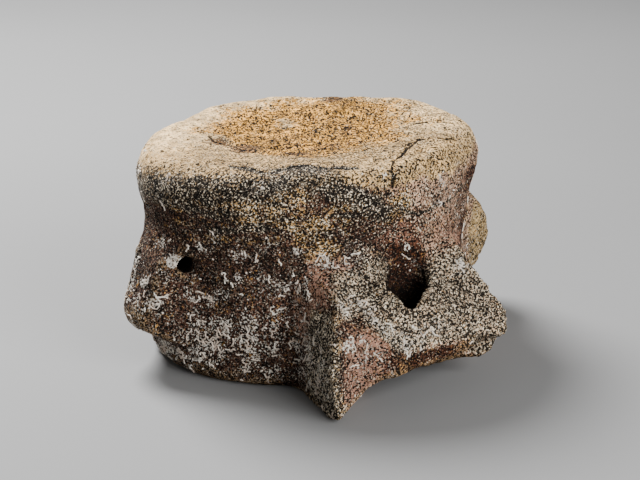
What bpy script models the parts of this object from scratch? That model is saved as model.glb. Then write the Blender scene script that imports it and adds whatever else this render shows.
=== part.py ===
"""A worn tail vertebra of a large whale, standing on its front end face.

The bone is modelled whole, as a radius round its long axis at each height, and is then parted with thin
cuts where an anatomist names its parts. The long axis is Z. The dorsal side, with the neural arch, faces -Y.
The front of the whale is down, so the bone's own right side is at -X. Angles run round the axis from the
dorsal side, positive towards +X. A place in plan is (sideways, dorsal). Lengths are in metres, and angles
in degrees. A table gives a value at each of a few heights or angles, with straight runs between them.
"""

import math

import bmesh
import bpy
from mathutils import Matrix, Vector, noise

# The centrum, which is the drum of the bone.
TOP_WIDTH = 0.317
TOP_DEPTH = 0.262
BASE_WIDTH = 0.284
BASE_DEPTH = 0.244
CENTRUM_LENGTH = 0.182
TOP_TILT = 0.11
WAIST_INSET = 0.012
WAIST_HEIGHT = 0.100
TOP_RIM_HEIGHT = 0.034
TOP_RIM_WIDTH = 0.020
TOP_RIM_RIGHT_WEAR = 0.55
TOP_RIM_LEFT_WEAR = 0.95
BASE_RIM_HEIGHT = 0.016
BASE_RIM_WIDTH = 0.013
TOP_DISH_DEPTH = 0.008
TOP_DISH_SHARE = 0.78
TOP_DISH_SHARPNESS = 1.3
SPONGY_MIDDLE = (0.024, -0.024)
SPONGY_HALF = (0.078, 0.068)
SPONGY_EDGE = (0.88, 1.10)
SPONGY_DEPTH = 0.0022
SPONGY_KNOBS = (0.0016, 38.0)
END_FACE_ABOVE = 0.155
BASE_HOLLOW = 0.0015
BASE_HOLLOW_SPAN = (0.15, 0.85)

# The two low ridges along the ventral side, tallest at the end faces.
VENTRAL_RIDGE_ANGLE = 166.0
VENTRAL_RIDGE_SPREAD = 8.0
VENTRAL_RIDGE_HEIGHT = 0.006
VENTRAL_RIDGE_AT_WAIST = 0.35

# The neural canal, and the groove that carries it on up the drum.
CANAL_SIDEWAYS = 0.004
CANAL_CENTRE = 0.1400
CANAL_HALF_WIDTH = 0.0215
CANAL_HALF_DEPTH = 0.0215
CANAL_TAPER = 0.35
CANAL_SLANT = 0.0085
CANAL_SPAN = (-0.010, 0.118)
GROOVE_DEPTH = 0.008
GROOVE_HALF_ANGLE = 12.0
GROOVE_SPAN = (0.070, 0.148)

# The roof of the arch, where the spine broke away. The tables are by angle, and the rear slope's by height.
ROOF_FACE = 0.178
ROOF_FACE_HEIGHT = 0.044
ROOF_LEAN = 0.45
ROOF_TUCK = {-26: 0.30, 0: 0.35, 8: 0.70}
ROOF_UNDERCUT = 5.0
ROOF_SIDE = (0.082, 0.170)
ROOF_LOW_EDGE = {-26: 0.078, -18: 0.075, -14: 0.065, -10: 0.054, -5: 0.049, 6: 0.052, 13: 0.046, 26: 0.040}
ROOF_FRONT_RIM = {-26: 0.000, -16: 0.020, -12: 0.026, -4: 0.029, 4: 0.031, 13: 0.033, 17: 0.045, 26: 0.045}
REAR_SLOPE = {0.060: 0.225, 0.084: 0.163, 0.100: 0.140, 0.118: 0.112}
RIGHT_ROOF_FALL = 0.36
RIGHT_ROOF_FALL_START = 0.020
LEFT_ROOF_DROP = 0.013
LEFT_ROOF_DROP_ANGLE = 9.0

# The metapophyses, one on each side of the roof. A ridge is a radius at each height.
FOOT_OUTSIDE = (0.070, 0.101)
FOOT_INSIDE = (0.018, 0.124)
LEAST_FAR_EDGE = 0.160
RIGHT_RIDGE = {0.000: 0.172, 0.005: 0.201, 0.040: 0.190, 0.076: 0.180, 0.095: 0.152, 0.116: 0.118}
RIGHT_RIDGE_ANGLE = {0.000: -24.5, 0.040: -26.0, 0.076: -24.5, 0.116: -22.0}
RIGHT_OUTER_FALL = 0.070
LEFT_RIDGE = {0.012: 0.115, 0.020: 0.180, 0.050: 0.193, 0.076: 0.174, 0.100: 0.150, 0.120: 0.118}
LEFT_RIDGE_ANGLE = {0.018: 23.0, 0.050: 28.5, 0.076: 27.5, 0.120: 25.5}
LEFT_INNER_FALL = 0.060
ARCH_HALF_ANGLE = 60.0

# The transverse processes, broken short, and the hole in the dorsal face of each.
RIGHT_PROCESS = {0.016: 0.120, 0.030: 0.150, 0.040: 0.168, 0.052: 0.173, 0.072: 0.165, 0.1: 0.156, 0.13: 0.13}
LEFT_PROCESS = {0.014: 0.120, 0.030: 0.150, 0.042: 0.168, 0.056: 0.181, 0.080: 0.179, 0.102: 0.16, 0.13: 0.13}
PROCESS_ROOT_HALF = 0.040
PROCESS_TIP_HALF = 0.016
FORAMEN_RADIUS = 0.0065
FORAMEN_STRETCH = 1.3
FORAMEN_SIDEWAYS = 0.1345
FORAMEN_HEIGHT = 0.097
FORAMEN_SPAN = (-0.056, 0.010)

# How softly shapes run into each other, and how lumpy the worn surface is.
FILLET = 0.018
EDGE_SOFTNESS = 0.006
BROAD_LUMPS = (0.0026, 18.0)
FINE_LUMPS = (0.0013, 55.0)
EVEN_BELOW = (0.004, 0.020)

# The cuts that part the bone.
PROCESS_CUT = 0.1475
PROCESS_CUT_HALF = 0.075
ARCH_CUT = 0.1285
ARCH_CUT_HALF = 0.105
METAPOPHYSIS_CUT = ((0.087, 0.118), (0.028, 0.196))
CUT_SPAN = (-0.010, 0.132)
CUT_GAP = 0.0003
STAND_BLOCK = (0.6, 0.6, 0.1)

# The fineness of the surface, and a radius that no part of the bone reaches.
RING_POINTS = 360
HEIGHT_STEPS = 92
END_RINGS = 20
VOXEL = 0.0032
SMOOTH_PASSES = 4
TRIANGLES = 13500
BEYOND = 0.4

BONE_COLOURS = {
    "centrum": (0.42, 0.33, 0.24),
    "neural_arch": (0.46, 0.36, 0.29),
    "metapophysis_right": (0.38, 0.29, 0.24),
    "metapophysis_left": (0.44, 0.34, 0.27),
    "transverse_process_right": (0.16, 0.11, 0.08),
    "transverse_process_left": (0.27, 0.22, 0.13),
}
BONE_ROUGHNESS = 0.85
SHARP_FROM = 40.0


def between(table, at):
    """The value of a table at a place between two of its own."""
    places = sorted(table)
    if at <= places[0]:
        return table[places[0]]
    for low, high in zip(places, places[1:]):
        if at <= high:
            share = (at - low) / (high - low)
            return table[low] + share * (table[high] - table[low])
    return table[places[-1]]


def clamp(value):
    return min(max(value, 0.0), 1.0)


def soft_max(a, b, softness):
    """The larger of two radii, with a fillet where they cross."""
    blend = max(softness - abs(a - b), 0.0) / softness
    return max(a, b) + blend * blend * softness / 4


def soft_min(a, b, softness):
    """The smaller of two radii, with the edge rounded where they cross."""
    return -soft_max(-a, -b, softness)


def face_radius(angle, start, end):
    """How far out a straight face lies along an angle. The face runs through two places in plan."""
    along = (end[0] - start[0], end[1] - start[1])
    normal = (along[1], -along[0])
    offset = normal[0] * start[0] + normal[1] * start[1]
    if offset < 0:
        normal = (-normal[0], -normal[1])
        offset = -offset
    facing = normal[0] * math.sin(angle) + normal[1] * math.cos(angle)
    return min(offset / facing, BEYOND) if facing > 0 else BEYOND


def rim_inset(share, width):
    """How far a rounded rim has drawn in. The share runs from 0 where it starts to 1 at the end face."""
    return width * (1 - math.sqrt(1 - clamp(share) ** 2))


def centrum_radius(angle, height):
    """The drum: an oval that draws in at its waist and rounds over at both rims."""
    rise = height / CENTRUM_LENGTH
    half_width = (BASE_WIDTH + rise * (TOP_WIDTH - BASE_WIDTH)) / 2
    half_depth = (BASE_DEPTH + rise * (TOP_DEPTH - BASE_DEPTH)) / 2
    oval = half_width * half_depth / math.hypot(half_depth * math.sin(angle), half_width * math.cos(angle))
    span = WAIST_HEIGHT if height < WAIST_HEIGHT else CENTRUM_LENGTH - WAIST_HEIGHT
    from_waist = clamp(abs(height - WAIST_HEIGHT) / span)
    inset = WAIST_INSET * (1 - from_waist**2) ** 1.5
    wear_there = TOP_RIM_LEFT_WEAR if angle > 0 else TOP_RIM_RIGHT_WEAR
    side_wear = 1 + wear_there * abs(math.sin(angle))
    inset += rim_inset((height - CENTRUM_LENGTH) / TOP_RIM_HEIGHT + 1, TOP_RIM_WIDTH * side_wear)
    inset += rim_inset(1 - height / BASE_RIM_HEIGHT, BASE_RIM_WIDTH)
    low, high = GROOVE_SPAN
    across = max(1 - (math.degrees(angle) / GROOVE_HALF_ANGLE) ** 2, 0.0)
    inset += GROOVE_DEPTH * across * math.sin(math.pi * clamp((height - low) / (high - low)))
    off_ridge = (abs(math.degrees(angle)) - VENTRAL_RIDGE_ANGLE) / VENTRAL_RIDGE_SPREAD
    along = VENTRAL_RIDGE_AT_WAIST + (1 - VENTRAL_RIDGE_AT_WAIST) * from_waist**2
    return oval - inset + VENTRAL_RIDGE_HEIGHT * along * math.exp(-off_ridge**2)


def metapophysis_radius(angle, height, side):
    """The fin beside the roof: a wedge in plan, whose ridge reaches out and then falls back to the drum."""
    if side * angle < 0:
        return 0.0
    turn = math.radians(between(LEFT_RIDGE_ANGLE if side > 0 else RIGHT_RIDGE_ANGLE, height))
    outwards = side * (angle - turn)
    if side > 0:
        reach = between(LEFT_RIDGE, height + LEFT_INNER_FALL * max(-outwards, 0.0))
    else:
        reach = between(RIGHT_RIDGE, height + RIGHT_OUTER_FALL * max(outwards, 0.0))
    far = max(reach, LEAST_FAR_EDGE)
    edge = (far * math.sin(turn), far * math.cos(turn))
    outer = face_radius(angle, (side * FOOT_OUTSIDE[0], FOOT_OUTSIDE[1]), edge)
    inner = face_radius(angle, (side * FOOT_INSIDE[0], FOOT_INSIDE[1]), edge)
    return soft_min(soft_min(outer, inner, EDGE_SOFTNESS), reach, EDGE_SOFTNESS)


def roof_radius(angle, height):
    """The roof over the canal: a leaning broken face, tucked in below its low edge, and sloped behind."""
    low = between(ROOF_LOW_EDGE, math.degrees(angle))
    rim = min(between(ROOF_FRONT_RIM, math.degrees(angle)), low)
    face = (ROOF_FACE - ROOF_LEAN * (height - ROOF_FACE_HEIGHT)) / math.cos(angle)
    reach = face - between(ROOF_TUCK, math.degrees(angle)) * max(low - height, 0.0)
    reach -= ROOF_UNDERCUT * max(rim - height, 0.0)
    fall = RIGHT_ROOF_FALL * max(-CANAL_CENTRE * math.sin(angle) - RIGHT_ROOF_FALL_START, 0.0)
    fall += LEFT_ROOF_DROP * clamp(math.degrees(angle) / LEFT_ROOF_DROP_ANGLE)
    reach = soft_min(reach, between(REAR_SLOPE, height + fall), EDGE_SOFTNESS)
    for side in (-1, 1):
        foot = (side * FOOT_OUTSIDE[0], FOOT_OUTSIDE[1])
        end = (side * ROOF_SIDE[0], ROOF_SIDE[1])
        reach = soft_min(reach, face_radius(angle, foot, end), EDGE_SOFTNESS)
    return reach


def process_radius(angle, height, side):
    """A transverse process: a plate that thins outwards, seen from above."""
    table = LEFT_PROCESS if side > 0 else RIGHT_PROCESS
    off = angle - side * math.pi / 2
    across = abs(math.sin(off)) if math.cos(off) > 0 else 1.0
    root = BASE_WIDTH / 2 - WAIST_INSET
    thinning = (PROCESS_ROOT_HALF - PROCESS_TIP_HALF) / (max(table.values()) - root)
    flank = (PROCESS_ROOT_HALF + thinning * root) / (across + thinning)
    return soft_min(between(table, height), flank, EDGE_SOFTNESS)


def bone_radius(angle, height):
    """How far the bone reaches from its axis."""
    reach = centrum_radius(angle, height)
    if abs(math.degrees(angle)) < ARCH_HALF_ANGLE:
        reach = soft_max(reach, roof_radius(angle, height), FILLET)
        for side in (-1, 1):
            reach = soft_max(reach, metapophysis_radius(angle, height, side), FILLET)
    for side in (-1, 1):
        reach = soft_max(reach, process_radius(angle, height, side), FILLET)
    return reach


def as_object(name, mesh):
    """Turn a working mesh into an object of the scene, with its faces pointing out."""
    mesh.normal_update()
    bmesh.ops.recalc_face_normals(mesh, faces=mesh.faces)
    data = bpy.data.meshes.new(name)
    mesh.to_mesh(data)
    mesh.free()
    made = bpy.data.objects.new(name, data)
    bpy.context.scene.collection.objects.link(made)
    return made


def whole_bone():
    """The bone as rings of points joined up its side, with both end faces filled by shrinking rings."""
    mesh = bmesh.new()
    angles = [2 * math.pi * i / RING_POINTS - math.pi for i in range(RING_POINTS)]
    rings = []

    def add_ring(height, radii):
        ring = []
        for angle, radius in zip(angles, radii):
            x = radius * math.sin(angle)
            ring.append(mesh.verts.new((x, -radius * math.cos(angle), height * (1 + TOP_TILT * x))))
        rings.append(ring)

    shares = [i / END_RINGS for i in range(1, END_RINGS)]
    span = CENTRUM_LENGTH + BASE_HOLLOW
    turns = [math.pi * i / HEIGHT_STEPS for i in range(HEIGHT_STEPS + 1)]
    levels = [span * (1 - math.cos(turn)) / 2 - BASE_HOLLOW for turn in turns]
    base = [bone_radius(angle, levels[0]) for angle in angles]
    top = [bone_radius(angle, levels[-1]) for angle in angles]
    low, high = BASE_HOLLOW_SPAN
    for share in shares:
        hollow = math.sin(math.pi * clamp((share - low) / (high - low)))
        add_ring(levels[0] + 2 * BASE_HOLLOW * hollow, [share * radius for radius in base])
    for height in levels:
        add_ring(height, [bone_radius(angle, height) for angle in angles])
    for share in reversed(shares):
        dish = clamp(1 - (share / TOP_DISH_SHARE) ** 2) ** TOP_DISH_SHARPNESS
        add_ring(CENTRUM_LENGTH - TOP_DISH_DEPTH * dish, [share * radius for radius in top])
    for lower, upper in zip(rings, rings[1:]):
        for i in range(RING_POINTS):
            j = (i + 1) % RING_POINTS
            mesh.faces.new((lower[i], lower[j], upper[j], upper[i]))
    mesh.faces.new(list(reversed(rings[0])))
    mesh.faces.new(rings[-1])
    return as_object("whole_bone", mesh)


def block(name, centre, size, turn=0.0):
    """A box-shaped cutter, turned about the vertical."""
    mesh = bmesh.new()
    bmesh.ops.create_cube(mesh, size=1.0)
    place = Matrix.Translation(centre) @ Matrix.Rotation(turn, 4, "Z") @ Matrix.Diagonal((*size, 1.0))
    bmesh.ops.transform(mesh, matrix=place, verts=mesh.verts)
    return as_object(name, mesh)


def canal_cutter():
    """The neural canal, from below the bone up to where it opens behind the roof."""
    low, high = CANAL_SPAN
    mesh = bmesh.new()
    bmesh.ops.create_cone(mesh, cap_ends=True, segments=48, radius1=1.0, radius2=1.0, depth=1.0)
    for vert in mesh.verts:
        x, y, z = vert.co
        wide = x * CANAL_HALF_WIDTH * (1 + CANAL_TAPER * y) + CANAL_SLANT * y
        vert.co = (wide + CANAL_SIDEWAYS, y * CANAL_HALF_DEPTH - CANAL_CENTRE, low + (z + 0.5) * (high - low))
    return as_object("canal_cutter", mesh)


def foramen_cutter(name, side):
    """A short blind hole in the dorsal face of a transverse process."""
    outside, end = FORAMEN_SPAN
    mesh = bmesh.new()
    bmesh.ops.create_cone(
        mesh, cap_ends=True, segments=24, radius1=FORAMEN_RADIUS, radius2=FORAMEN_RADIUS, depth=1.0
    )
    for vert in mesh.verts:
        x, y, z = vert.co
        along = outside + (z + 0.5) * (end - outside)
        vert.co = (side * FORAMEN_SIDEWAYS + x, along, FORAMEN_HEIGHT + FORAMEN_STRETCH * y)
    return as_object(name, mesh)


def apply_modifiers(obj):
    """Replace an object's mesh by what its modifiers make of it."""
    bpy.context.view_layer.update()
    graph = bpy.context.evaluated_depsgraph_get()
    made = bpy.data.meshes.new_from_object(obj.evaluated_get(graph))
    obj.modifiers.clear()
    obj.data = made


def cut_away(obj, tools):
    """Take every cutter away from an object, then remove the cutters."""
    for tool in tools:
        cut = obj.modifiers.new(tool.name, "BOOLEAN")
        cut.operation = "DIFFERENCE"
        cut.solver = "EXACT"
        cut.object = tool
    apply_modifiers(obj)
    for tool in tools:
        bpy.data.objects.remove(tool)


def fuse_and_soften(bone):
    """Turn the cut rings into one even skin, and round its creases."""
    remesh = bone.modifiers.new("fuse", "REMESH")
    remesh.mode = "VOXEL"
    remesh.voxel_size = VOXEL
    smooth = bone.modifiers.new("soften", "SMOOTH")
    smooth.factor = 0.5
    smooth.iterations = SMOOTH_PASSES
    apply_modifiers(bone)


def spongy_share(place, normal):
    """How far a place lies in the sunken spongy middle of the upper end face, from 0 to 1."""
    if place.z < END_FACE_ABOVE:
        return 0.0
    across = (place.x - SPONGY_MIDDLE[0]) / SPONGY_HALF[0]
    along = (place.y + SPONGY_MIDDLE[1]) / SPONGY_HALF[1]
    inner, outer = SPONGY_EDGE
    return clamp((outer - math.hypot(across, along)) / (outer - inner)) * clamp(normal.z)


def wear(bone):
    """Raise low lumps and hollows, as weathered bone has, but leave the underside even."""
    low, high = EVEN_BELOW
    mesh = bmesh.new()
    mesh.from_mesh(bone.data)
    mesh.normal_update()
    lifts = []
    for vert in mesh.verts:
        broad = BROAD_LUMPS[0] * noise.noise(vert.co * BROAD_LUMPS[1])
        fine = FINE_LUMPS[0] * noise.noise(vert.co * FINE_LUMPS[1])
        knobs = SPONGY_KNOBS[0] * noise.noise(vert.co * SPONGY_KNOBS[1])
        spongy = spongy_share(vert.co, vert.normal)
        lift = broad + fine + spongy * (knobs - SPONGY_DEPTH)
        lifts.append(vert.normal * lift * clamp((vert.co.z - low) / (high - low)))
    for vert, lift in zip(mesh.verts, lifts):
        vert.co += lift
    mesh.to_mesh(bone.data)
    mesh.free()


def thin_out(bone):
    """Bring the surface down to fewer triangles."""
    count = sum(len(face.vertices) - 2 for face in bone.data.polygons)
    thin = bone.modifiers.new("thin", "DECIMATE")
    thin.ratio = TRIANGLES / count
    thin.use_collapse_triangulate = True
    apply_modifiers(bone)


def parting_cuts():
    """The thin blocks that part the bone, and one below it that gives it a flat to stand on."""
    low, high = CUT_SPAN
    middle = (low + high) / 2
    tall = high - low
    start, end = METAPOPHYSIS_CUT
    cuts = [block("stand_cut", (0, 0, -STAND_BLOCK[2] / 2), STAND_BLOCK)]
    cuts.append(block("arch_cut", (0, -ARCH_CUT - CUT_GAP / 2, middle), (2 * ARCH_CUT_HALF, CUT_GAP, tall)))
    for side, name in ((-1, "right"), (1, "left")):
        place = (side * (PROCESS_CUT + CUT_GAP / 2), 0, middle)
        cuts.append(block("process_cut_" + name, place, (CUT_GAP, 2 * PROCESS_CUT_HALF, tall)))
        run = (side * (end[0] - start[0]), start[1] - end[1])
        place = (side * (start[0] + end[0]) / 2, -(start[1] + end[1]) / 2, middle)
        size = (math.hypot(*run), CUT_GAP, tall)
        cuts.append(block("metapophysis_cut_" + name, place, size, math.atan2(run[1], run[0])))
    return cuts


def loose_shells(data):
    """The separate closed surfaces of a mesh as lists of its faces, the largest in area first."""
    mesh = bmesh.new()
    mesh.from_mesh(data)
    mesh.faces.ensure_lookup_table()
    shell_of = [None] * len(mesh.faces)
    shells = []
    for first in mesh.faces:
        if shell_of[first.index] is not None:
            continue
        shell = []
        waiting = [first]
        shell_of[first.index] = len(shells)
        while waiting:
            face = waiting.pop()
            shell.append(face)
            for edge in face.edges:
                for other in edge.link_faces:
                    if shell_of[other.index] is None:
                        shell_of[other.index] = len(shells)
                        waiting.append(other)
        shells.append(shell)
    shells.sort(key=lambda shell: -sum(face.calc_area() for face in shell))
    return mesh, shells


def node_name(middle):
    """The node that a parted piece belongs to, told by the place of its middle."""
    side = "left" if middle.x > 0 else "right"
    if abs(middle.x) > PROCESS_CUT:
        return "transverse_process_" + side
    if middle.y > -ARCH_CUT / 2:
        return "centrum"
    if abs(middle.x) > METAPOPHYSIS_CUT[1][0]:
        return "metapophysis_" + side
    return "neural_arch"


def part_into_nodes(bone):
    """Keep the largest closed surface of each node, and drop the scraps."""
    made = {}
    source, shells = loose_shells(bone.data)
    for shell in shells:
        piece = bmesh.new()
        copies = {}
        for face in shell:
            for vert in face.verts:
                if vert not in copies:
                    copies[vert] = piece.verts.new(vert.co)
            piece.faces.new([copies[vert] for vert in face.verts])
        name = node_name(sum((vert.co for vert in piece.verts), Vector()) / len(piece.verts))
        if name in made:
            piece.free()
        else:
            made[name] = as_object(name, piece)
    source.free()
    bpy.data.objects.remove(bone)
    return made


def finish_node(obj):
    """Give a node its own bone colour, and shade it smooth up to its sharp edges."""
    material = bpy.data.materials.new(obj.name + "_bone")
    material.use_nodes = True
    shader = material.node_tree.nodes["Principled BSDF"]
    shader.inputs["Base Color"].default_value = (*BONE_COLOURS[obj.name], 1.0)
    shader.inputs["Roughness"].default_value = BONE_ROUGHNESS
    shader.inputs["Metallic"].default_value = 0.0
    obj.data.materials.append(material)
    obj.data.shade_smooth()
    obj.data.set_sharp_from_angle(angle=math.radians(SHARP_FROM))


def main():
    for obj in list(bpy.data.objects):
        bpy.data.objects.remove(obj)
    bone = whole_bone()
    cut_away(bone, [canal_cutter(), foramen_cutter("foramen_right", -1), foramen_cutter("foramen_left", 1)])
    fuse_and_soften(bone)
    wear(bone)
    thin_out(bone)
    cut_away(bone, parting_cuts())
    for obj in part_into_nodes(bone).values():
        finish_node(obj)


if __name__ == "__main__":
    main()
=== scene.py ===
"""A whale's tail vertebra, weathered and crusted, dressed around its solid frame."""

import collections
import itertools
import math

import bmesh
import bpy
import numpy as np
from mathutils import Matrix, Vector
from mathutils.kdtree import KDTree


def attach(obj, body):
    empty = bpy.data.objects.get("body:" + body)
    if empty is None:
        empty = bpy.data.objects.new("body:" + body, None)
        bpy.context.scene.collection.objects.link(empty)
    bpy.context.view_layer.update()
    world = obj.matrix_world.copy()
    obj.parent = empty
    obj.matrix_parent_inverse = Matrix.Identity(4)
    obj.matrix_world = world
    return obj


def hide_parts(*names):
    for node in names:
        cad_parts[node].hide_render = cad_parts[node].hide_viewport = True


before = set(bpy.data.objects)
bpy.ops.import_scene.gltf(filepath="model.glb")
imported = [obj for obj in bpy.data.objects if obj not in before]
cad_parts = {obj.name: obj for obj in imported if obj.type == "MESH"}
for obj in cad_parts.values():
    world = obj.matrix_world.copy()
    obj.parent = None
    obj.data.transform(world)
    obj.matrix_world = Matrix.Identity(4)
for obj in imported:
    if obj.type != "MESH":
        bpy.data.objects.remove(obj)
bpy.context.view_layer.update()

bl_info = {
    "name": "Whale tail vertebra",
    "version": (1, 0, 0),
    "blender": (4, 5, 0),
    "location": "3D View > Sidebar > Vertebra",
    "description": "Makes the weathered surface, crust and studio of a whale's tail vertebra",
    "category": "Object",
}

BONE = "bone_surface"
FLECKS = "crust_flecks"
TUBES = "worm_tubes"
BODY = "root"

# The end face leans, so that its rim is higher on the bone's left side, towards +x
END_HEIGHT = 0.182
END_LEAN = 0.11

# The canal through the arch, seen from above: its middle, its half width, and how much it
# widens and shifts sideways towards the back
CANAL_X, CANAL_Y = 0.004, -0.140
CANAL_HALF_WIDTH = 0.0215
CANAL_FLARE = 0.35
CANAL_SHIFT = 0.0085

# The hole through each side process
HOLE_X, HOLE_Z = 0.1345, 0.097
HOLE_RADIUS = 0.0070


# ---------------------------------------------------------------------------
# Sizes and colours that a user may change
# ---------------------------------------------------------------------------

def length(name, description, default):
    return bpy.props.FloatProperty(name=name, description=description, default=default, min=0.0,
                                   precision=5, subtype="DISTANCE", unit="LENGTH")


def share(name, description, default):
    return bpy.props.FloatProperty(name=name, description=description, default=default, min=0.0)


def count(name, description, default):
    return bpy.props.IntProperty(name=name, description=description, default=default, min=0)


def colour(name, description, default):
    return bpy.props.FloatVectorProperty(name=name, description=description, default=default,
                                         size=3, min=0.0, max=1.0, subtype="COLOR")


class SurfaceSizes(bpy.types.PropertyGroup):
    """How finely the bone is meshed and how deeply it is weathered."""

    swell: length("Swell", "How far each part grows, to close the thin cuts between parts", 0.0002)
    voxel: length("Grain of the mesh", "Side of the cubes that the surface is first cut into", 0.0016)
    quick_voxel: length("Quick grain", "The same for a quick look", 0.0026)
    triangles: count("Triangles", "Most triangles that the bone keeps", 192000)
    middle_lumps: length("Middle lumps", "Height of the swellings about a centimetre across", 0.0008)
    fine_lumps: length("Fine lumps", "Height of the roughness a few millimetres across", 0.0007)
    pits: count("Pits", "Number of open pores that are large enough to be cut", 7000)
    pit_smallest: length("Smallest pit", "Radius of the smallest cut pore", 0.0013)
    pit_largest: length("Largest pit", "Radius of the largest cut pore", 0.0028)
    pit_depth: length("Pit depth", "Depth of a pore of the largest radius", 0.0019)
    crack_width: length("Crack width", "Half the width of a crack in the end face", 0.0020)
    crack_depth: length("Crack depth", "Depth of a crack in the end face", 0.0022)


class BoneColours(bpy.types.PropertyGroup):
    """The bone's colours, from its bare rim to its stained hollows, which are partly darkened with painted
    shade.
    """

    brown: colour("Dark flank", "Stained brown of the right flank", (0.090, 0.044, 0.029))
    rosy: colour("Rosy flank", "Greyish pink of the back and left flank", (0.450, 0.270, 0.175))
    ochre: colour("Ochre", "Rusty yellow patches", (0.470, 0.280, 0.105))
    band: colour("Dark band", "Grey black band below the rim", (0.085, 0.068, 0.052))
    # Partly painted shade: this red darkens the recess above the canal
    red: colour("Red hollow", "Reddish brown of the sheltered faces", (0.190, 0.090, 0.058))
    # Partly painted shade: this russet darkens the places under the arch's overhang and in the canal
    russet_and_shade: colour("Russet", "Dark red brown of the most sheltered places", (0.082, 0.030, 0.016))
    pink: colour("Pink slope", "Purplish pink of the smooth slopes", (0.385, 0.205, 0.140))
    broken: colour("Broken arch", "Pale spongy bone where the spine broke off", (0.640, 0.460, 0.300))
    olive: colour("Olive process", "Olive brown of the left process", (0.440, 0.300, 0.135))
    soot: colour("Dark spur", "Grey olive of the outer face of the right spur", (0.215, 0.165, 0.112))
    rim: colour("Pale rim", "Cream of the worn rim and end face", (0.840, 0.570, 0.280))
    beige: colour("Beige front", "Greyer cream of the front half of the end face", (0.640, 0.410, 0.180))
    spongy: colour("Spongy centre", "Orange of the spongy centre of the end face", (0.900, 0.450, 0.085))
    umber: colour("Umber", "Brown patches in the spongy centre", (0.260, 0.130, 0.045))
    rust: colour("Rust", "Rusty tint of single grains", (0.300, 0.110, 0.030))
    grain: colour("Pale grains", "Cream of the single grains between the pores", (1.000, 0.860, 0.650))
    crust: colour("Crust", "White of the limy crust", (0.860, 0.800, 0.700))
    # Near black: the earth in the pores, and the painted shade of the hollows, pits, cracks, canal and
    # process holes
    earth_and_painted_shade: colour("Deep hollow", "Earth that fills pores, cracks and canals", (0.0025, 0.0016, 0.0012))


class CrustSizes(bpy.types.PropertyGroup):
    """How much limy crust has grown on the bone."""

    fleck_density: share("Flecks", "Crust flecks on a square metre where the crust is full", 260000.0)
    fleck_smallest: length("Smallest fleck", "Radius of the smallest crust fleck", 0.0004)
    fleck_largest: length("Largest fleck", "Radius of the largest crust fleck", 0.0012)
    fleck_seed: count("Fleck seed", "Changes the places of the flecks", 7)
    tube_density: share("Tubes", "Worm tubes on a square metre where the crust is full", 85000.0)
    tube_length: length("Tube length", "Length of a worm tube before it bends", 0.008)
    tube_radius: length("Tube radius", "Outer radius of a worm tube", 0.0006)
    tube_bend: length("Tube bend", "How far a worm tube wanders from its line", 0.0120)
    tube_seed: count("Tube seed", "Changes the places of the tubes", 3)


class StageSizes(bpy.types.PropertyGroup):
    """The floor, the lights and the camera."""

    floor_width: length("Floor", "Side of the square floor", 14.0)
    floor_colour: colour("Floor colour", "Pale grey of the floor", (0.225, 0.225, 0.225))
    azimuth: bpy.props.FloatProperty(name="Azimuth", description="Angle of the camera round the bone",
                                     default=math.radians(-31.0), subtype="ANGLE", unit="ROTATION")
    elevation: bpy.props.FloatProperty(name="Elevation", description="Angle of the camera above the floor",
                                       default=math.radians(22.0), subtype="ANGLE", unit="ROTATION")
    distance: length("Distance", "From the camera to the middle of the bone's foot", 1.56)
    aim_right: length("Aim right", "How far right of the bone's foot the camera aims", 0.0088)
    aim_up: length("Aim up", "How far above the bone's foot the camera aims", 0.0799)
    lens: bpy.props.FloatProperty(name="Lens", description="Focal length for a 36 mm wide sensor",
                                  default=100.0, subtype="DISTANCE_CAMERA", unit="CAMERA")
    key_power: bpy.props.FloatProperty(name="Key light", description="Power of the large light behind",
                                       default=138.0, unit="POWER")
    fill_power: bpy.props.FloatProperty(name="Fill light", description="Power of the soft light in front",
                                        default=54.0, unit="POWER")
    sky: share("Room light", "Brightness of the room around", 0.22)


# ---------------------------------------------------------------------------
# Repeatable noise and soft steps, for whole lists of points at once
# ---------------------------------------------------------------------------

def cell_numbers(cells, seed):
    """One repeatable number from 0 to 1 for each whole-number cell."""
    mixed = cells[:, 0] * 73856093 ^ cells[:, 1] * 19349663 ^ cells[:, 2] * 83492791 ^ seed * 2654435761
    mixed = (mixed ^ (mixed >> 13)) * 1274126177
    mixed ^= mixed >> 16
    return (mixed & 0xFFFF) / 65535.0


def noise(points, size, seed):
    """Smooth noise from -1 to 1 with features of the given size."""
    places = points / size
    cells = np.floor(places).astype(np.int64)
    inside = places - cells
    inside = inside * inside * (3 - 2 * inside)
    total = np.zeros(len(points))
    for corner in itertools.product((0, 1), repeat=3):
        weight = np.prod(np.where(corner, inside, 1 - inside), axis=1)
        total += weight * cell_numbers(cells + np.array(corner), seed)
    return total * 2 - 1


def rough_noise(points, size, seed, octaves=3):
    """Noise with finer and fainter noise added, from about -1 to 1."""
    total = np.zeros(len(points))
    for octave in range(octaves):
        total += noise(points, size / 2 ** octave, seed + octave) / 2 ** octave
    return total / (2 - 0.5 ** (octaves - 1))


def rough_vectors(points, size, seeds):
    """Rough noise of its own in each direction."""
    return np.stack([rough_noise(points, size, seed) for seed in seeds], axis=1)


def step(values, low, high):
    """0 below low and 1 above high, or the other way round where low is the greater."""
    part = np.clip((values - low) / (high - low), 0, 1)
    return part * part * (3 - 2 * part)


def spot(points, centre, radius, edge=0.85):
    """1 at a centre, falling to 0 at a radius, with the fall in the outer share called edge."""
    away = np.linalg.norm(points - np.array(centre), axis=1) / radius
    return step(away, 1, 1 - edge)


STREAK_STRETCH = np.array((1.0, 1.0, 4.5))


def streaks(points, size, seed):
    """Noise drawn out sideways, as stains that run along the rim are."""
    return rough_noise(points * STREAK_STRETCH, size, seed)


# ---------------------------------------------------------------------------
# Meshes as lists of points
# ---------------------------------------------------------------------------

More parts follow.
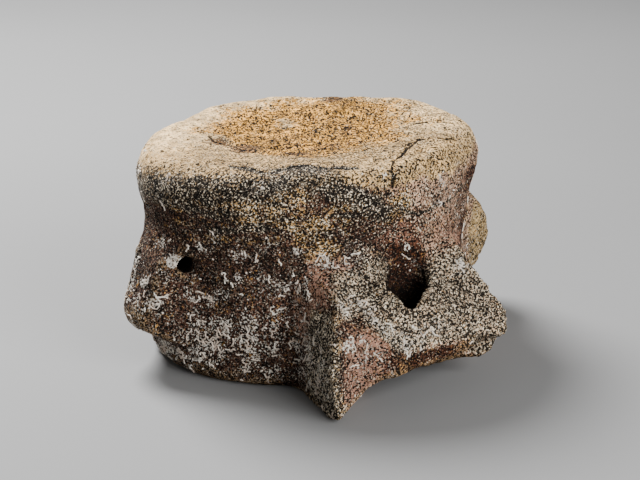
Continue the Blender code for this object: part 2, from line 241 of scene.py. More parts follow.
def points_of(mesh):
    """The mesh's points, one row each."""
    flat = np.empty(len(mesh.vertices) * 3)
    mesh.vertices.foreach_get("co", flat)
    return flat.reshape(-1, 3)


def normals_of(mesh):
    """The directions that the mesh's points face."""
    flat = np.empty(len(mesh.vertices) * 3)
    mesh.vertex_normals.foreach_get("vector", flat)
    return flat.reshape(-1, 3)


def put_points(mesh, points):
    mesh.vertices.foreach_set("co", points.ravel())
    mesh.update()


def neighbour_means(mesh):
    """A function that gives, for values at the mesh's points, the mean over each point's neighbours."""
    flat = np.empty(len(mesh.edges) * 2, np.int64)
    mesh.edges.foreach_get("vertices", flat)
    starts, ends = flat.reshape(-1, 2).T
    to = np.concatenate([starts, ends])
    come_from = np.concatenate([ends, starts])
    size = len(mesh.vertices)
    number = np.maximum(np.bincount(to, minlength=size), 1)

    def mean(values):
        if values.ndim == 1:
            return np.bincount(to, values[come_from], size) / number
        columns = [np.bincount(to, column[come_from], size) / number for column in values.T]
        return np.stack(columns, axis=1)

    return mean


def averaged(mean, values, rounds):
    """Values at the mesh's points, each replaced by the mean of its neighbours, again and again."""
    for _ in range(rounds):
        values = mean(values)
    return values


SMOOTH_INWARDS = 0.60
SMOOTH_OUTWARDS = 0.62


def smooth(mesh, rounds):
    """Takes the facets off without shrinking the bone, by turns inwards and outwards."""
    mean = neighbour_means(mesh)
    points = points_of(mesh)
    for _ in range(rounds):
        points += SMOOTH_INWARDS * (mean(points) - points)
        points -= SMOOTH_OUTWARDS * (mean(points) - points)
    put_points(mesh, points)


def put_attribute(mesh, name, values):
    made = mesh.attributes.new(name, "FLOAT", "POINT")
    made.data.foreach_set("value", values.astype(np.float32))


def linked_object(name, mesh):
    made = bpy.data.objects.new(name, mesh)
    bpy.context.scene.collection.objects.link(made)
    return made


def baked(obj):
    """The object's shape with its modifiers, as a plain mesh of its own; the object is removed."""
    bpy.context.view_layer.update()
    shape = obj.evaluated_get(bpy.context.evaluated_depsgraph_get())
    mesh = bpy.data.meshes.new_from_object(shape)
    bpy.data.objects.remove(obj)
    return mesh


# ---------------------------------------------------------------------------
# The bone as one piece
# ---------------------------------------------------------------------------

SAME_PLACE = 1e-6
FACET_ROUNDS = 8


def joined_parts(swell):
    """One mesh of every part of the bone, each grown a little so that it overlaps its neighbours."""
    whole = bmesh.new()
    for node in sorted(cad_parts):
        part = bmesh.new()
        part.from_mesh(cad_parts[node].data)
        bmesh.ops.remove_doubles(part, verts=part.verts, dist=SAME_PLACE)
        part.normal_update()
        for vertex in part.verts:
            vertex.co += vertex.normal * swell
        mesh = bpy.data.meshes.new(node + "_grown")
        part.to_mesh(mesh)
        part.free()
        whole.from_mesh(mesh)
        bpy.data.meshes.remove(mesh)
    mesh = bpy.data.meshes.new("parts")
    whole.to_mesh(mesh)
    whole.free()
    return mesh


def outer_shell(mesh):
    """Keeps the largest connected shell of a mesh and drops bubbles."""
    shape = bmesh.new()
    shape.from_mesh(mesh)
    shape.verts.ensure_lookup_table()
    seen = [False] * len(shape.verts)
    shells = []
    for start in shape.verts:
        if seen[start.index]:
            continue
        seen[start.index] = True
        shell = [start]
        for vertex in shell:
            for edge in vertex.link_edges:
                other = edge.other_vert(vertex)
                if not seen[other.index]:
                    seen[other.index] = True
                    shell.append(other)
        shells.append(shell)
    shells.sort(key=len)
    for shell in shells[:-1]:
        bmesh.ops.delete(shape, geom=shell, context="VERTS")
    shape.to_mesh(mesh)
    shape.free()


def fused_bone(sizes):
    """The whole bone in small even squares."""
    block = linked_object("parts", joined_parts(sizes.swell))
    remesh = block.modifiers.new("even squares", "REMESH")
    remesh.mode = "VOXEL"
    remesh.voxel_size = sizes.voxel
    mesh = baked(block)
    outer_shell(mesh)
    smooth(mesh, FACET_ROUNDS)
    return mesh


# ---------------------------------------------------------------------------
# Where things are on the bone
# ---------------------------------------------------------------------------

# Stains follow places that are moved about by noise, so that no edge of a stain is even
WOBBLE_SIZE = 0.022
WOBBLE_REACH = 0.007


class Places:
    """Where each point of the bone lies, and which kind of surface it belongs to.

    Angles go round the upright bone in degrees, from 0 in front, where the arch is, up to 180
    on the bone's left side, towards +x, and down to -180 on its right side. Heights are above
    the floor, reaches are from the upright axis, and below_end is the depth below the end face.
    """

    def __init__(self, points, normals):
        self.points = points
        self.loose = points + WOBBLE_REACH * rough_vectors(points, WOBBLE_SIZE, (11, 12, 13))
        self.normals = normals
        x, y, z = self.loose.T
        self.height = z
        self.angle = np.degrees(np.arctan2(x, -y))
        self.reach = np.hypot(x, y)
        self.below_end = END_HEIGHT * (1 + END_LEAN * x) - z
        self.end_face = step(normals[:, 2], 0.55, 0.85) * step(points[:, 2], 0.150, 0.165)
        self.underside = step(normals[:, 2], -0.6, -0.9) * step(points[:, 2], 0.012, 0.003)

    def spots(self, places):
        """The union of round spots, each a centre and a radius."""
        total = np.zeros(len(self.points))
        for centre, radius in places:
            total = np.maximum(total, spot(self.loose, centre, radius))
        return total


def spongy_centre(at):
    """The open, orange middle of the end face, apart from a few smooth spots in it."""
    x, y = at.loose[:, 0], at.loose[:, 1]
    away = np.hypot((x - 0.014) / 0.092, (y - 0.020) / 0.072) + 0.30 * rough_noise(at.points, 0.026, 23)
    bare = at.spots((
        ((0.006, 0.052, 0.178), 0.016), ((-0.071, 0.033, 0.176), 0.014), ((0.037, 0.019, 0.180), 0.009)))
    return at.end_face * step(away, 1.38, 0.66) * (1 - 0.8 * bare)


def umber_patches(at):
    """Darker brown in the spongy centre, most along its right edge."""
    edge = at.spots((
        ((-0.066, 0.000, 0.176), 0.026), ((-0.072, 0.022, 0.176), 0.018),
        ((-0.030, -0.030, 0.176), 0.018), ((0.070, 0.080, 0.182), 0.018)))
    scattered = 0.55 * step(rough_noise(at.points, 0.016, 27), 0.05, 0.55)
    return at.end_face * np.maximum(edge, scattered * spongy_centre(at))


def pale_rim(at):
    """Cream over the end face and the lip of its rim, deeper at the sides and back than in front."""
    depth = np.interp(at.angle, (-180, -95, -60, -42, -20, 20, 60, 180),
                      (0.020, 0.020, 0.013, 0.005, 0.009, 0.018, 0.016, 0.020))
    return step(at.below_end, depth + 0.009, depth - 0.009)


def beige_front(at):
    """Greyer, darker bone on the front half of the end face."""
    return pale_rim(at) * step(at.loose[:, 0] * 0.5 + at.loose[:, 1], 0.020, -0.075)


# The dark line that bounds the band where it arches on to the end face
ARCH_LINE = (
    (-0.100, -0.052), (-0.090, -0.079), (-0.070, -0.083),
    (-0.051, -0.087), (-0.043, -0.099), (-0.026, -0.108),
)


def line_distance(points, line):
    """How far each point is from a bent line, seen from above."""
    nearest = np.full(len(points), 1.0)
    for start, end in zip(line, line[1:]):
        start, along = np.array(start), np.array(end) - np.array(start)
        from_start = points[:, :2] - start
        part = np.clip(from_start @ along / (along @ along), 0, 1)
        nearest = np.minimum(nearest, np.linalg.norm(from_start - part[:, None] * along, axis=1))
    return nearest


def dark_band(at):
    """The grey black band that runs below the rim and arches up on to the face in front."""
    middle = np.interp(at.angle, (-180, -120, -90, -57, -44, -35, -27, -20, -9, 2, 12),
                       (0.034, 0.030, 0.020, 0.012, 0.007, 0.000, 0.004, 0.013, 0.026, 0.036, 0.044))
    width = np.interp(at.angle, (-180, -110, -60, -35, -12, -3, 10),
                      (0.003, 0.008, 0.009, 0.009, 0.009, 0.004, 0.001))
    band = step(np.abs(at.below_end - middle), width * 1.9, width * 0.3)
    patch = 0.75 * spot(at.loose, (-0.070, -0.096, 0.180), 0.024)
    line = step(line_distance(at.loose, ARCH_LINE), 0.007, 0.001) * step(at.height, 0.150, 0.160)
    arch = np.maximum(patch, line)
    return np.maximum(np.maximum(band * step(at.reach, 0.100, 0.112), arch), 0.85 * dark_streaks(at))


def streaky_belt(at):
    """The belt below the rim, round the front and right, that is stained in streaks."""
    belt = step(at.below_end, 0.010, 0.020) * step(at.below_end, 0.068, 0.040)
    return belt * step(at.angle, 12, -8) * step(at.angle, -175, -130)


def line_round(at, depth, half_width, start, end, fade=6):
    """A soft line round the bone at a depth below the end face, between two angles."""
    line = step(np.abs(at.below_end - depth), half_width, half_width * 0.2)
    return line * step(at.angle, start - fade, start + fade) * step(at.angle, end + fade, end - fade)


# Dark streaks lie where this noise is high, ochre ones where it is low
STREAK_LENGTH = 0.030
STREAK_SEED = 33


def dark_streaks(at):
    mottled = streaky_belt(at) * step(streaks(at.points, STREAK_LENGTH, STREAK_SEED), 0.05, 0.45)
    return np.maximum(mottled, line_round(at, 0.030, 0.0065, -92, -48))


def ochre_streaks(at):
    mottled = streaky_belt(at) * step(streaks(at.points, STREAK_LENGTH, STREAK_SEED), -0.02, -0.40)
    return np.maximum(mottled, line_round(at, 0.021, 0.006, -88, -44))


def ochre_patches(at):
    """Rusty yellow in patches round the bone, on the spur and in streaks below the rim."""
    patches = at.spots((
        ((-0.085, -0.103, 0.160), 0.034), ((-0.066, -0.110, 0.136), 0.034), ((0.006, -0.124, 0.142), 0.030),
        ((-0.106, -0.087, 0.158), 0.030), ((-0.058, -0.118, 0.118), 0.026), ((-0.040, -0.122, 0.150), 0.024),
        ((0.040, 0.125, 0.120), 0.046), ((-0.080, 0.105, 0.060), 0.042), ((0.120, -0.070, 0.140), 0.026),
        ((0.130, 0.060, 0.060), 0.036)))
    mottled = 0.45 + 0.75 * step(rough_noise(at.points, 0.012, 35), -0.35, 0.35)
    on_spur = 0.55 * spot(at.loose, (-0.078, -0.170, 0.012), 0.030)
    return np.clip(np.maximum(np.maximum(patches * mottled, on_spur), 0.75 * ochre_streaks(at)), 0, 1)


def rosy_flank(at):
    """Greyish pink on the left flank and most of the back."""
    wander = 26 * rough_noise(at.points, 0.045, 32)
    front = step(at.angle, -14, 8)
    back = step(wander - at.angle, 118, 160)
    patchy = 0.5 + 0.5 * rough_noise(at.points, 0.05, 31)
    return np.clip(np.maximum(front, back) * (0.50 + 0.8 * patchy), 0, 1)


# The lower edge of the arch's broken face: angles round the bone, then heights
ROOF_LOW_EDGE = (
    (-26, -18, -14, -10, -5, 6, 13, 20, 30),
    (0.078, 0.075, 0.065, 0.054, 0.049, 0.052, 0.046, 0.026, 0.018),
)


def red_with_painted_shade(at):
    """Reddish brown above the canal: the bone's own colour, darkened as painted shade in the recess."""
    return spot(at.loose, (0.012, -0.124, 0.116), 0.042)


def russet_with_painted_shade(at):
    """Dark red brown under the overhang of the arch, in the canal and down the left front edge; under the
    overhang and in the canal it is partly painted shade.
    """
    low_edge = np.interp(at.angle, *ROOF_LOW_EDGE)
    under = step(at.height, low_edge + 0.001, low_edge - 0.007) * step(at.reach, 0.106, 0.116)
    under *= step(at.angle, -20, -15) * step(at.angle, 31, 26) * step(-at.points[:, 1], 0.100, 0.112)
    canal = canal_share(at, 0.002) * step(at.height, 0.125, 0.110)
    edge = step(at.angle, 34, 44) * step(at.angle, 78, 62) * step(at.below_end, 0.020, 0.034)
    edge *= 0.30 + 0.60 * step(rough_noise(at.points, 0.018, 37), -0.3, 0.4)
    return np.maximum(np.maximum(under, canal), edge * step(at.height, 0.060, 0.085))


def pink_slopes(at):
    """Purplish pink on the smooth slopes beside the arch and on the inner face of the spur."""
    near = at.spots((
        ((-0.062, -0.132, 0.095), 0.042), ((-0.078, -0.122, 0.072), 0.040), ((-0.048, -0.134, 0.102), 0.026),
        ((-0.052, -0.150, 0.044), 0.026), ((0.070, -0.118, 0.112), 0.036), ((0.095, -0.100, 0.090), 0.036)))
    spur = step(at.angle, -25.5, -21) * step(at.angle, -7, -15) * step(at.reach, 0.132, 0.140)
    patchy = 0.74 + 0.26 * step(rough_noise(at.points, 0.014, 43), -0.30, 0.30)
    return patchy * np.maximum(near, spur * step(at.height, 0.080, 0.056))


def broken_arch(at):
    """The pale spongy face that was left where the spine broke off."""
    low_edge = np.interp(at.angle, *ROOF_LOW_EDGE)
    face = step(at.height, low_edge - 0.005, low_edge + 0.004) * step(at.reach, 0.126, 0.140)
    face *= step(at.angle, -26, -20) * step(at.angle, 37, 30) * step(at.height, 0.112, 0.096)
    lobe = spot(at.loose, (0.070, -0.172, 0.050), 0.036, 0.4) * step(at.normals[:, 2], -0.75, -0.35)
    pedicle = spot(at.loose, (-0.016, -0.126, 0.096), 0.028, 0.7)
    return np.maximum(np.maximum(face, lobe), pedicle)


def olive_process(at):
    """The left process, and the flank that it grows from, stained olive."""
    out = step(at.points[:, 0] + 0.008 * rough_noise(at.points, 0.020, 41), 0.134, 0.154)
    return out * spot(at.loose, (0.162, -0.004, 0.066), 0.070, 0.7)


def sooty_spur(at):
    """The outer face of the right spur, grey olive, and the dark foot of its tip."""
    outer = step(at.angle, -23.0, -26) * step(at.reach, 0.138, 0.150) * step(at.height, 0.088, 0.070)
    tip = spot(at.loose, (-0.079, -0.168, 0.006), 0.018)
    patches = 0.66 * broken_arch(at) * step(rough_noise(at.points, 0.016, 45), 0.00, 0.40)
    beside_canal = np.maximum(patches, 0.70 * spot(at.loose, (-0.029, -0.145, 0.086), 0.016))
    return np.maximum(np.maximum(outer * step(at.angle, -40, -34), tip), beside_canal)


# Thick spots of crust: centres and radii
CRUST_BLOBS = (
    ((-0.147, -0.011, 0.113), 0.0085), ((-0.146, -0.030, 0.101), 0.009), ((-0.161, -0.006, 0.080), 0.008),
    ((-0.158, -0.016, 0.066), 0.010), ((-0.131, -0.046, 0.115), 0.005), ((-0.123, -0.060, 0.122), 0.004),
    ((-0.074, -0.103, 0.120), 0.006), ((-0.054, -0.114, 0.109), 0.008), ((-0.112, -0.075, 0.093), 0.006),
    ((-0.120, -0.062, 0.078), 0.007), ((-0.126, -0.052, 0.070), 0.008), ((0.018, -0.122, 0.111), 0.005),
    ((-0.076, -0.166, 0.078), 0.006), ((-0.060, -0.166, 0.080), 0.007), ((0.060, -0.138, 0.092), 0.007),
    ((-0.058, -0.152, 0.040), 0.006), ((-0.064, -0.156, 0.026), 0.007), ((-0.110, -0.082, 0.050), 0.007),
    ((-0.090, -0.096, 0.040), 0.006), ((0.100, 0.085, 0.090), 0.010), ((-0.060, 0.118, 0.110), 0.012),
    ((0.150, 0.030, 0.070), 0.009), ((-0.158, 0.018, 0.060), 0.012), ((-0.012, -0.134, 0.086), 0.006),
    ((-0.052, -0.163, 0.063), 0.005), ((-0.040, -0.166, 0.058), 0.005), ((-0.068, -0.168, 0.060), 0.004),
)


def crust_cover(at):
    """How thickly the limy crust covers each place, from 0 to 1."""
    wander = 30 * rough_noise(at.points, 0.040, 52)
    low_flank = step(at.angle, -20, -36) * step(wander - at.angle, 168, 112)
    low_flank *= step(at.height, 0.140, 0.050)
    low_flank *= step(at.height, 0.0, 0.010)
    clumps = step(rough_noise(at.points, 0.024, 51), -0.30, 0.42)
    fine = step(rough_noise(at.points, 0.008, 54), -0.30, 0.34)
    cover = low_flank * (0.13 + 0.43 * clumps) * (0.24 + 0.76 * fine)
    sparse = 0.22 * step(rough_noise(at.points, 0.030, 57), -0.1, 0.5) * (0.3 + 0.7 * fine)
    spur = 0.14 * step(at.angle, -20, -27) * step(at.reach, 0.145, 0.158) * (0.4 + 0.6 * clumps)
    low_edge = np.interp(at.angle, *ROOF_LOW_EDGE)
    lip = step(np.abs(at.height - low_edge - 0.007), 0.010, 0.003) * step(at.angle, -24, -20)
    lip *= 0.34 * step(at.angle, 4, -2) * step(at.reach, 0.135, 0.145) * (0.3 + 0.7 * fine)
    cover = np.maximum(np.maximum(cover, lip), np.maximum(sparse, spur))
    cover *= (1 - at.end_face) * (1 - deep_hollows(at))
    ragged = at.points + 0.0045 * rough_vectors(at.points, 0.006, (91, 94, 97))
    for centre, radius in CRUST_BLOBS:
        cover = np.maximum(cover, 0.68 * spot(ragged, centre, radius * 1.15, 0.8))
    return cover * (1 - at.underside)


def canal_share(at, margin):
    """1 inside the canal of the arch, with its wall moved out by a margin."""
    x, y = at.points[:, 0], at.points[:, 1]
    across = (y - CANAL_Y) / CANAL_HALF_WIDTH
    wide = CANAL_HALF_WIDTH * (1 + CANAL_FLARE * across) + margin
    deep = across * CANAL_HALF_WIDTH / (CANAL_HALF_WIDTH + margin)
    away = np.hypot((x - CANAL_X - CANAL_SHIFT * across) / wide, deep)
    return step(away, 1.10, 0.96)


def deep_hollows(at):
    """The canal of the arch and the holes in the processes, where the light doesn't reach."""
    x, y, z = at.points.T
    canal = canal_share(at, 0.001) * step(z, 0.112, 0.068) * step(z, -0.01, 0.0)
    from_hole = np.hypot(np.abs(x) - HOLE_X, (z - HOLE_Z) / 1.3)
    hole = step(from_hole, HOLE_RADIUS + 0.001, HOLE_RADIUS - 0.001)
    hole *= step(-y, 0.034, 0.026) * step(y, 0.000, -0.006)
    return np.maximum(canal, hole)


# Where a stain lies, the shares of it that are fine pores, wide pores and pale grains, and how
# far clumps, and then grains, break up its edge
Stain = collections.namedtuple("Stain", "place grains edge")

BARE_GRAINS = (0.50, 0.04, 0.14)

# From the lowest layer of paint to the uppermost
STAINS = {
    "rosy": Stain(rosy_flank, (0.44, 0.03, 0.26), (1.0, 1.6)),
    "ochre": Stain(ochre_patches, (0.52, 0.08, 0.40), (1.1, 2.2)),
    # The red layer is partly painted shade in the recess above the canal
    "red": Stain(red_with_painted_shade, (0.54, 0.06, 0.26), (0.8, 1.8)),
    # The russet layer is partly painted shade under the arch and in the canal
    "russet_and_shade": Stain(russet_with_painted_shade, (0.52, 0.04, 0.07), (0.8, 1.6)),
    "pink": Stain(pink_slopes, (0.36, 0.02, 0.15), (1.2, 2.0)),
    "rim": Stain(pale_rim, (0.32, 0.10, 0.14), (0.8, 2.0)),
    "beige": Stain(beige_front, (0.40, 0.20, 0.18), (0.9, 1.6)),
    "band": Stain(dark_band, (0.60, 0.10, 0.32), (0.9, 2.2)),
    "broken": Stain(broken_arch, (0.58, 0.15, 0.50), (0.9, 2.0)),
    "soot": Stain(sooty_spur, (0.54, 0.10, 0.44), (1.0, 2.0)),
    "olive": Stain(olive_process, (0.36, 0.05, 0.20), (0.9, 1.6)),
    "spongy": Stain(spongy_centre, (0.46, 0.32, 0.10), (1.5, 2.4)),
    "umber": Stain(umber_patches, (0.50, 0.38, 0.10), (1.2, 2.2)),
}


def grain_shares(at):
    """How much of each place is fine pores, wide pores and pale grains."""
    shares = np.tile(BARE_GRAINS, (len(at.points), 1))
    for stain in STAINS.values():
        shares += (np.array(stain.grains) - shares) * stain.place(at)[:, None]
    fine, wide, pale = shares.T
    round_the_axis = np.stack([at.reach, np.radians(at.angle) * 0.03, 0 * at.reach], axis=1)
    lines = at.end_face * step(rough_noise(round_the_axis, 0.006, 29), 0.05, 0.50)
    wide = wide + 0.10 * lines
    back_right = at.end_face * step(at.points[:, 0] * 0.6 - at.points[:, 1], 0.0, -0.12)
    smooth_rim = np.maximum(back_right, spot(at.points, (-0.115, 0.040, 0.178), 0.060))
    worn = 1 - 0.70 * smooth_rim * pale_rim(at) * (1 - spongy_centre(at))
    return fine * worn, wide * worn, pale


# ---------------------------------------------------------------------------
# Wear: lumps, open pores and cracks
# ---------------------------------------------------------------------------

def spongy_share(at):
    """How openly porous each place is."""
    share_open = 0.16 + 0.70 * spongy_centre(at) + 1.9 * broken_arch(at) + 0.20 * olive_process(at)
    share_open += 0.40 * sooty_spur(at) - 0.10 * pale_rim(at)
    return share_open * (1 - 0.7 * at.underside)


def pick_pits(points, at, sizes):
    """Places, radii and depths of the open pores, the more where the bone is spongy."""
    chance = np.random.default_rng(17)
    weight = spongy_share(at)
    wanted = sizes.pits
    chosen = chance.choice(len(points), wanted, replace=False, p=weight / weight.sum())
    radii = sizes.pit_smallest + (sizes.pit_largest - sizes.pit_smallest) * chance.random(wanted) ** 2.4
    depths = sizes.pit_depth * (radii / sizes.pit_largest) ** 0.7 * (0.5 + 0.5 * chance.random(wanted))
    return [(Vector(points[index]), radius, depth) for index, radius, depth in zip(chosen, radii, depths)]


# A pore starts to sink this many radii from its middle, and its wall is this steep
PIT_EDGE = 1.15
PIT_STEEPNESS = 1.7


def pit_depths(points, pits):
    """How deep below the surface each point lies, in a pore."""
    tree = KDTree(len(points))
    for index, point in enumerate(points):
        tree.insert(point, index)
    tree.balance()
    depths = np.zeros(len(points))
    for centre, radius, depth in pits:
        reach = radius * PIT_EDGE
        for _, index, away in tree.find_range(centre, reach):
            part = min(1.0, PIT_EDGE * (1 - away / reach) * PIT_STEEPNESS)
            depths[index] = max(depths[index], depth * part * part * (3 - 2 * part))
    return depths


# Cracks of the end face, each a bent line seen from above
CRACKS = (
    ((0.060, -0.076), (0.040, -0.091), (0.022, -0.105), (0.012, -0.111), (0.004, -0.119), (0.000, -0.128)),
    ((0.040, -0.086), (0.051, -0.078), (0.063, -0.079), (0.078, -0.086), (0.094, -0.080)),
    ARCH_LINE,
    ((-0.080, 0.064), (-0.073, 0.046), (-0.078, 0.027), (-0.070, 0.010), (-0.066, -0.006)),
    ((0.078, -0.026), (0.085, -0.029), (0.098, -0.035), (0.112, -0.052)),
    ((-0.028, -0.072), (0.004, -0.070), (0.034, -0.066), (0.052, -0.058)),
)


def crack_shares(points, width):
    """1 in the middle of a crack of the end face, 0 beside it."""
    flat = points[:, :2] + 0.0016 * rough_vectors(points, 0.007, (71, 75))
    nearest = np.min([line_distance(flat, line) for line in CRACKS], axis=0)
    thin = 0.52 + 0.48 * step(noise(points, 0.010, 78), -0.5, 0.5)
    return step(nearest, width * thin, 0) * step(points[:, 2], 0.160, 0.168)


def weather(mesh, sizes):
    """Moves the surface in and out, and returns the pores that were cut."""
    points, normals = points_of(mesh), normals_of(mesh)
    at = Places(points, normals)
    middle = rough_noise(points, 0.014, 4, 2)
    fine = rough_noise(points, 0.005, 7, 2)
    spongy = np.clip(spongy_share(at), 0, 1.2)
    smooth_places = 1 - 0.55 * pink_slopes(at) - 0.35 * pale_rim(at) * (1 - spongy_centre(at))
    height = sizes.middle_lumps * middle * smooth_places
    height += sizes.fine_lumps * fine * (0.6 + 1.2 * spongy) * smooth_places
    pits = pick_pits(points, at, sizes)
    height -= pit_depths(points, pits) * (1 - 0.5 * at.underside)
    height -= sizes.crack_depth * crack_shares(points, sizes.crack_width)
    height *= 1 - at.underside
    points = points + normals * height[:, None]
    points[:, 2] = np.maximum(points[:, 2], 0.0)
    put_points(mesh, points)
    return pits


def thinned(mesh, most):
    """The mesh with no more triangles than a limit, kept where the shape needs them."""
    number = sum(len(face.vertices) - 2 for face in mesh.polygons)
    if number <= most:
        return mesh
    obj = linked_object("thinning", mesh)
    thin = obj.modifiers.new("thin out", "DECIMATE")
    thin.ratio = most / number
    return baked(obj)


# Masks are full where an edge stands out this far and where a pore is this deep, and a crack
# is painted this many times wider than it is cut
SHARP_EDGE = 0.00045
DARK_PIT = 0.0014
CRACK_SHADOW = 1.6


def edge_wear_and_hollow_shade(mesh):
    """How sharply each place stands out, from -1 in a hollow to 1 on an edge."""
    mean = neighbour_means(mesh)
    near = averaged(mean, points_of(mesh), 4)
    wide = averaged(mean, near, 6)
    out = averaged(mean, np.einsum("ij,ij->i", near - wide, normals_of(mesh)), 4)
    return np.clip(out / SHARP_EDGE, -1, 1)


def paint_masks(mesh, pits, sizes):
    """Stores on the bone's points where each stain, pore, crack and crust lies."""
    points = points_of(mesh)
    at = Places(points, normals_of(mesh))
    for name, stain in STAINS.items():
        put_attribute(mesh, name, stain.place(at))
    put_attribute(mesh, "crust", crust_cover(at))
    put_attribute(mesh, "hollow", deep_hollows(at))
    put_attribute(mesh, "pit", np.clip(pit_depths(points, pits) / DARK_PIT, 0, 1))
    put_attribute(mesh, "crack", crack_shares(points, CRACK_SHADOW * sizes.crack_width))
    # Edges for wear, and hollows for painted shade
    put_attribute(mesh, "wear_and_shade", edge_wear_and_hollow_shade(mesh))
    for name, values in zip(("fine pores", "wide pores", "pale grains"), grain_shares(at)):
        put_attribute(mesh, name, values)


# ---------------------------------------------------------------------------
# Nodes
# ---------------------------------------------------------------------------

def add_node(tree, kind, inputs=(), **settings):
    """Adds a node, gives its settings, and fills or links its inputs."""
    made = tree.nodes.new(kind)
    for key, value in settings.items():
        setattr(made, key, value)
    for key, value in dict(inputs).items():
        if isinstance(value, bpy.types.NodeSocket):
            tree.links.new(value, made.inputs[key])
        else:
            made.inputs[key].default_value = value
    return made


def calc(tree, operation, first, second=0.0, clamp=False):
    made = add_node(tree, "ShaderNodeMath", {0: first, 1: second}, operation=operation, use_clamp=clamp)
    return made.outputs[0]


def mix(tree, factor, first, second, way="MIX"):
    """Two colours mixed by a factor."""
    return add_node(tree, "ShaderNodeMix", {0: factor, 6: first, 7: second}, data_type="RGBA",
                    blend_type=way).outputs[2]


def spread(tree, value, low, high, to_low=0.0, to_high=1.0):
    """A value mapped smoothly from one span to another."""
    return add_node(tree, "ShaderNodeMapRange", {0: value, 1: low, 2: high, 3: to_low, 4: to_high},
                    interpolation_type="SMOOTHSTEP").outputs[0]


def grain(tree, position, size, detail=2.0, roughness=0.6):
    """Noise with grains of a size in metres, or with as many to the metre as a socket says."""
    scale = size if isinstance(size, bpy.types.NodeSocket) else 1 / size
    made = add_node(tree, "ShaderNodeTexNoise",
                    {"Vector": position, "Scale": scale, "Detail": detail, "Roughness": roughness})
    return made.outputs["Fac"]


def new_group(name, inputs, outputs):
    """An empty shader group with its sockets, and its input and output nodes."""
    tree = bpy.data.node_groups.new(name, "ShaderNodeTree")
    for way, sockets in (("INPUT", inputs), ("OUTPUT", outputs)):
        for socket, kind, default in sockets:
            made = tree.interface.new_socket(socket, in_out=way, socket_type=kind)
            if default is not None:
                made.default_value = default
    return tree, tree.nodes.new("NodeGroupInput").outputs, tree.nodes.new("NodeGroupOutput").inputs


def ragged_edge_group():
    """Breaks the soft edge of a stain into clumps and then into grains."""
    tree, given, result = new_group(
        "ragged edge",
        (("Position", "NodeSocketVector", None), ("Stain", "NodeSocketFloat", 0.0),
         ("Clumps", "NodeSocketFloat", 0.8), ("Grains", "NodeSocketFloat", 1.6)),
        (("Stain", "NodeSocketFloat", None),))

    def uneven(size, roughness, strength):
        centred = calc(tree, "SUBTRACT", grain(tree, given["Position"], size, 2.0, roughness), 0.5)
        return calc(tree, "MULTIPLY", centred, strength)

    clumps = uneven(0.009, 0.6, given["Clumps"])
    grains = uneven(0.0021, 0.7, given["Grains"])
    broken = calc(tree, "ADD", given["Stain"], calc(tree, "ADD", clumps, grains))
    tree.links.new(spread(tree, broken, 0.30, 0.70), result["Stain"])
    return tree


def grains_group():
    """Grains that cover a given share of the surface, in uneven clumps."""
    tree, given, result = new_group(
        "grains",
        (("Position", "NodeSocketVector", None), ("Grains per metre", "NodeSocketFloat", 480.0),
         ("Share", "NodeSocketFloat", 0.3), ("Softness", "NodeSocketFloat", 0.05)),
        (("Grains", "NodeSocketFloat", None),))
    fine = grain(tree, given["Position"], given["Grains per metre"], 1.6, 0.6)
    clumps = calc(tree, "SUBTRACT", grain(tree, given["Position"], 0.010, 3.0, 0.65), 0.5)
    covered = calc(tree, "ADD", given["Share"], calc(tree, "MULTIPLY", clumps, 0.60))
    start = calc(tree, "SUBTRACT", 0.64, calc(tree, "MULTIPLY", covered, 0.28))
    above = calc(tree, "SUBTRACT", fine, start)
    tree.links.new(calc(tree, "DIVIDE", above, given["Softness"], clamp=True), result["Grains"])
    return tree


def use_group(tree, group, **inputs):
    made = tree.nodes.new("ShaderNodeGroup")
    made.node_tree = group
    for key, value in inputs.items():
        name = key.replace("_", " ")
        if isinstance(value, bpy.types.NodeSocket):
            tree.links.new(value, made.inputs[name])
        else:
            made.inputs[name].default_value = value
    return made.outputs[0]


def solid(rgb):
    return (*rgb, 1.0)


def new_material(name):
    material = bpy.data.materials.new(name)
    material.use_nodes = True
    tree = material.node_tree
    shader = tree.nodes["Principled BSDF"]
    position = add_node(tree, "ShaderNodeTexCoord").outputs["Object"]
    return material, tree, shader, position


# How many grains and pores lie side by side on a metre
RUSTY_GRAINS = 330.0
PALE_GRAINS = 680.0
CRUST_GRAINS = 600.0
FINE_PORES = 620.0
WIDE_PORES = 420.0

# How high the finest relief of each material stands
BONE_RELIEF = 0.0012
CRUST_RELIEF = 0.0003


